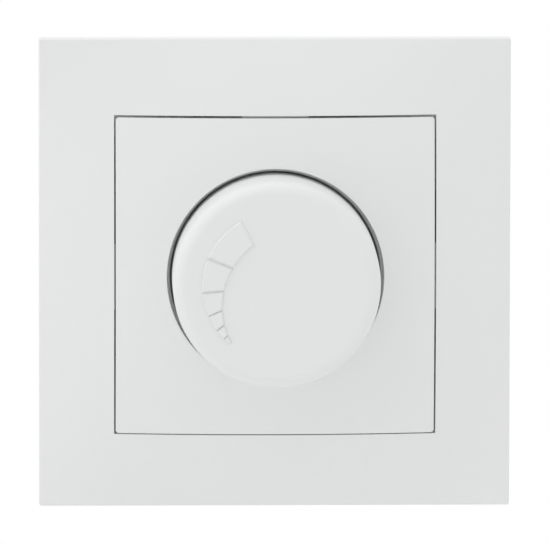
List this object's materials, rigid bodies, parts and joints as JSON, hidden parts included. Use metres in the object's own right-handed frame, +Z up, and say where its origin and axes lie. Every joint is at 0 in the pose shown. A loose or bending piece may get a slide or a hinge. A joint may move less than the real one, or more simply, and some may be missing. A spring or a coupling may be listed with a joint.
{
  "type": "dimmer switch",
  "caption": "Flush-mounted rotary dimmer: domed square cover frame, centre plate and a push and turn knob, with a round insert, spreading claws and screw terminals behind the wall.",
  "frame": {"origin": "centre of the cover frame's back plane, on the wall", "axes": "-Y out of the wall towards the user, +X to the user's right, +Z up the wall"},
  "size_m": [0.081, 0.046, 0.081],
  "materials": {
    "white_plastic": "smooth moulded white",
    "housing_plastic": "fine matte moulded dark grey",
    "switch_plastic": "matte pale grey",
    "galvanised": "zinc-plated sheet",
    "zinc_screw": "zinc-plated, turned",
    "spring_steel": "bright spring steel",
    "nickel_brass": "turned brass",
    "copper": "enamelled copper wire",
    "bare_aluminium": "bare, rolled",
    "board": "laminate with solder mask",
    "black_epoxy": "moulded epoxy",
    "blue_film": "dipped film",
    "yellow_film": "moulded box",
    "ferrite": "sintered, dark",
    "resistor_body": "lacquered",
    "carbon": "carbon track on laminate",
    "fuse_glass": "clear"
  },
  "bodies": {
    "insert": {"cover_frame": "white_plastic", "centre_plate": "white_plastic", "pot_bush": "nickel_brass", "lock_washer": "spring_steel", "fixing_nut": "nickel_brass", "pot_case": "galvanised", "resistive_track": "carbon", "switch_body": "switch_plastic", "switch_contacts": "nickel_brass", "return_spring": "spring_steel", "support_ring": "galvanised", "ring_rivets": "zinc_screw", "housing_front": "housing_plastic", "housing_rear": "housing_plastic", "housing_screws": "zinc_screw", "claw_pins": "zinc_screw", "circuit_board": "board", "choke_core": "ferrite", "choke_winding": "copper", "heat_sink": "bare_aluminium", "triac": "black_epoxy", "triac_screw": "zinc_screw", "suppressor_capacitor": "yellow_film", "timing_capacitor": "blue_film", "resistors": "resistor_body", "diac": "blue_film", "fuse_tube": "fuse_glass", "fuse_caps": "zinc_screw", "fuse_clips": "nickel_brass", "terminal_bars": "nickel_brass"},
    "plunger": {"switch_plunger": "switch_plastic", "switch_bridge": "nickel_brass"},
    "knob": {"knob": "white_plastic", "knob_clip": "spring_steel", "shaft": "bare_aluminium", "shaft_clip": "spring_steel"},
    "wiper": {"wiper_rotor": "switch_plastic", "wiper_contact": "nickel_brass"},
    "claw_screw_left": {"claw_screw_left": "zinc_screw"},
    "claw_nut_left": {"claw_nut_left": "zinc_screw"},
    "claw_left": {"claw_left": "galvanised"},
    "claw_screw_right": {"claw_screw_right": "zinc_screw"},
    "claw_nut_right": {"claw_nut_right": "zinc_screw"},
    "claw_right": {"claw_right": "galvanised"},
    "terminal_screw_1": {"terminal_screw_1": "zinc_screw"},
    "terminal_cage_1": {"terminal_cage_1": "galvanised"},
    "terminal_screw_2": {"terminal_screw_2": "zinc_screw"},
    "terminal_cage_2": {"terminal_cage_2": "galvanised"},
    "terminal_screw_3": {"terminal_screw_3": "zinc_screw"},
    "terminal_cage_3": {"terminal_cage_3": "galvanised"}
  },
  "joints": [
    {"name": "knob_push", "type": "slide", "parent": "insert", "child": "plunger", "axis": [0, 1, 0], "range_m": [0, 0.0015], "stiffness_N_per_m": 1500, "springref_m": -0.001, "deforming": ["return_spring"]},
    {"name": "knob_turn", "type": "hinge", "parent": "plunger", "child": "knob", "pos_m": [0, 0, 0], "axis": [0, 1, 0], "range_deg": [0, 270]},
    {"name": "wiper_turn", "type": "hinge", "parent": "insert", "child": "wiper", "pos_m": [0, 0, 0], "axis": [0, 1, 0], "range_deg": [0, 270.05]},
    {"name": "claw_screw_left_turn", "type": "hinge", "parent": "insert", "child": "claw_screw_left", "pos_m": [-0.0228, 0, 0], "axis": [0, 1, 0], "range_deg": [0, 1044.21]},
    {"name": "claw_nut_left_travel", "type": "slide", "parent": "insert", "child": "claw_nut_left", "axis": [0, -1, 0], "range_m": [0, 0.00145]},
    {"name": "claw_left_swing", "type": "hinge", "parent": "insert", "child": "claw_left", "pos_m": [-0.0273, 0.017, 0], "axis": [0, 0, -1], "range_deg": [0, 20]},
    {"name": "claw_screw_right_turn", "type": "hinge", "parent": "insert", "child": "claw_screw_right", "pos_m": [0.0228, 0, 0], "axis": [0, 1, 0], "range_deg": [0, 1044.21]},
    {"name": "claw_nut_right_travel", "type": "slide", "parent": "insert", "child": "claw_nut_right", "axis": [0, -1, 0], "range_m": [0, 0.00145]},
    {"name": "claw_right_swing", "type": "hinge", "parent": "insert", "child": "claw_right", "pos_m": [0.0273, 0.017, 0], "axis": [0, 0, 1], "range_deg": [0, 20]},
    {"name": "terminal_screw_1_turn", "type": "hinge", "parent": "insert", "child": "terminal_screw_1", "pos_m": [-0.0085, 0, -0.018], "axis": [0, -1, 0], "range_deg": [0, 1440.29]},
    {"name": "terminal_cage_1_rise", "type": "slide", "parent": "insert", "child": "terminal_cage_1", "axis": [0, 1, 0], "range_m": [0, 0.0024]},
    {"name": "terminal_screw_2_turn", "type": "hinge", "parent": "insert", "child": "terminal_screw_2", "pos_m": [0, 0, -0.018], "axis": [0, -1, 0], "range_deg": [0, 1440.29]},
    {"name": "terminal_cage_2_rise", "type": "slide", "parent": "insert", "child": "terminal_cage_2", "axis": [0, 1, 0], "range_m": [0, 0.0024]},
    {"name": "terminal_screw_3_turn", "type": "hinge", "parent": "insert", "child": "terminal_screw_3", "pos_m": [0.0085, 0, -0.018], "axis": [0, -1, 0], "range_deg": [0, 1440.29]},
    {"name": "terminal_cage_3_rise", "type": "slide", "parent": "insert", "child": "terminal_cage_3", "axis": [0, 1, 0], "range_m": [0, 0.0024]}
  ],
  "couplings": [
    {"joint": "wiper_turn", "follows": "knob_turn", "ratio": 1},
    {"joint": "claw_screw_left_turn", "follows": "claw_nut_left_travel", "rad_per_m": 12566},
    {"joint": "claw_left_swing", "follows": "claw_nut_left_travel", "rad_per_m": 240.74},
    {"joint": "claw_screw_right_turn", "follows": "claw_nut_right_travel", "rad_per_m": 12566},
    {"joint": "claw_right_swing", "follows": "claw_nut_right_travel", "rad_per_m": 240.74},
    {"joint": "terminal_screw_1_turn", "follows": "terminal_cage_1_rise", "rad_per_m": 10472},
    {"joint": "terminal_screw_2_turn", "follows": "terminal_cage_2_rise", "rad_per_m": 10472},
    {"joint": "terminal_screw_3_turn", "follows": "terminal_cage_3_rise", "rad_per_m": 10472}
  ]
}
